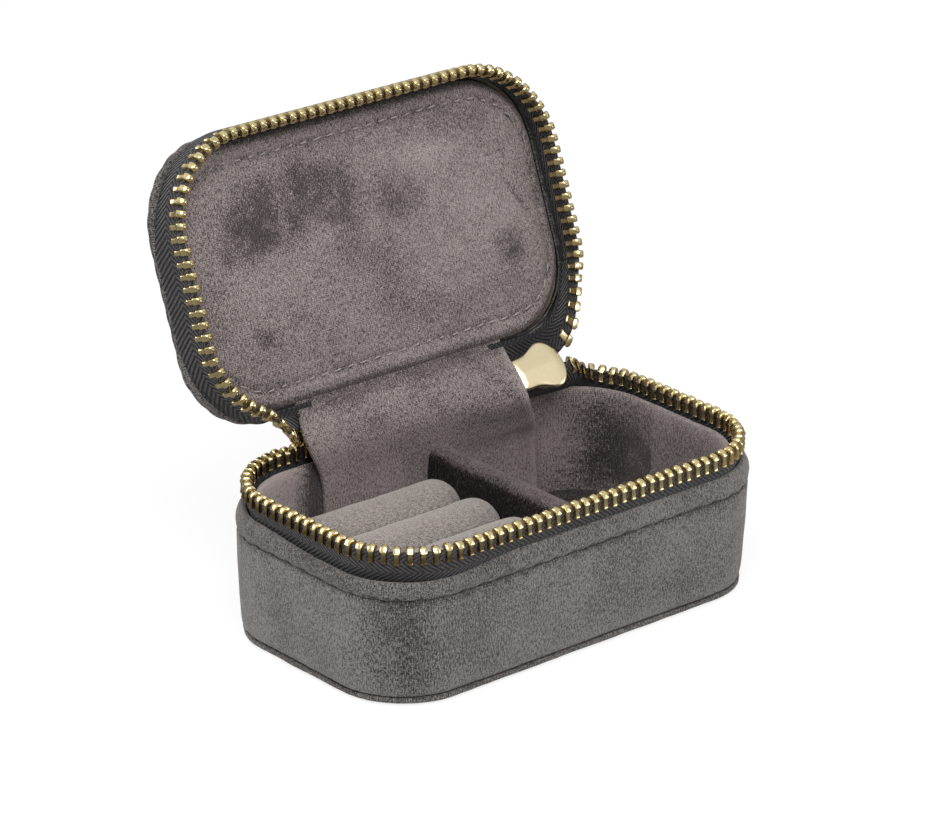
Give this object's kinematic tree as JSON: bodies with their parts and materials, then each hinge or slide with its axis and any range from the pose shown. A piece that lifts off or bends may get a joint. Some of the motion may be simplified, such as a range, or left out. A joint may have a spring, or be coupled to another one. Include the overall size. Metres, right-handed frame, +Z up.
{
  "type": "travel jewelry case",
  "caption": "Small zip-around jewelry case, open: velvet-covered box with padded ring rolls and a tray, padded lid on a fabric hinge, metal zipper with slider and pull tab.",
  "frame": {"origin": "centre of the base's flat underside", "axes": "+X along the long side, towards the open tray; front at -Y, fabric hinge at +Y; +Z up"},
  "size_m": [0.1, 0.0813, 0.0938],
  "materials": {
    "velvet": "matte",
    "lining_velvet": "matte",
    "roll_velvet": "matte",
    "board": "matte",
    "foam": "matte",
    "tape": "matte",
    "zip_metal": "polished",
    "slider_metal": "satin"
  },
  "bodies": {
    "base": {"base_bottom_board": "board", "base_bottom_cover": "velvet", "base_lining": "lining_velvet", "base_rim_band": "velvet", "base_side_cover": "velvet", "base_top_stop": "zip_metal", "base_wall_board": "board", "base_zip_tape": "tape", "base_zip_teeth": "zip_metal", "divider_board": "board", "divider_cover": "lining_velvet", "hinge_flap": "lining_velvet", "hinge_strip": "velvet", "ring_bed": "foam", "ring_roll_cover_1": "roll_velvet", "ring_roll_cover_2": "roll_velvet", "ring_roll_cover_3": "roll_velvet", "ring_roll_cover_4": "roll_velvet", "ring_roll_foam_1": "foam", "ring_roll_foam_2": "foam", "ring_roll_foam_3": "foam", "ring_roll_foam_4": "foam", "tray_floor_pad": "lining_velvet"},
    "lid": {"lid_lining_panel": "lining_velvet", "lid_padding": "foam", "lid_panel_card": "board", "lid_side_cover": "velvet", "lid_side_lining": "lining_velvet", "lid_top_board": "board", "lid_top_cover": "velvet", "lid_top_stop": "zip_metal", "lid_wall_board": "board", "lid_zip_tape": "tape", "lid_zip_teeth": "zip_metal"},
    "zip_end": {"zip_bottom_stop": "zip_metal", "zip_end_tape": "tape"},
    "slider": {"slider_body": "slider_metal", "slider_bail": "slider_metal"},
    "pull": {"pull_tab": "slider_metal"}
  },
  "joints": [
    {"name": "lid_hinge", "type": "hinge", "parent": "base", "child": "lid", "pos_m": [0, 0.0281, 0.0383], "axis": [-1, 0, 0], "range_deg": [-111.3, 5], "deforming": ["hinge_flap"]},
    {"name": "zip_end_lean", "type": "hinge", "parent": "base", "child": "zip_end", "pos_m": [0, 0.0281, 0.0383], "axis": [-1, 0, 0], "range_deg": [-50.2, 2.4]},
    {"name": "slider_slide", "type": "slide", "parent": "zip_end", "child": "slider", "axis": [0.9781, -0.1334, 0.1595], "range_m": [0, 0.0035]},
    {"name": "pull_swing", "type": "hinge", "parent": "slider", "child": "pull", "pos_m": [0.03083, 0.02592, 0.03124], "axis": [0.9781, -0.1334, 0.1595], "range_deg": [-4, 65]}
  ],
  "couplings": [
    {"joint": "zip_end_lean", "follows": "lid_hinge", "ratio": 0.45}
  ]
}
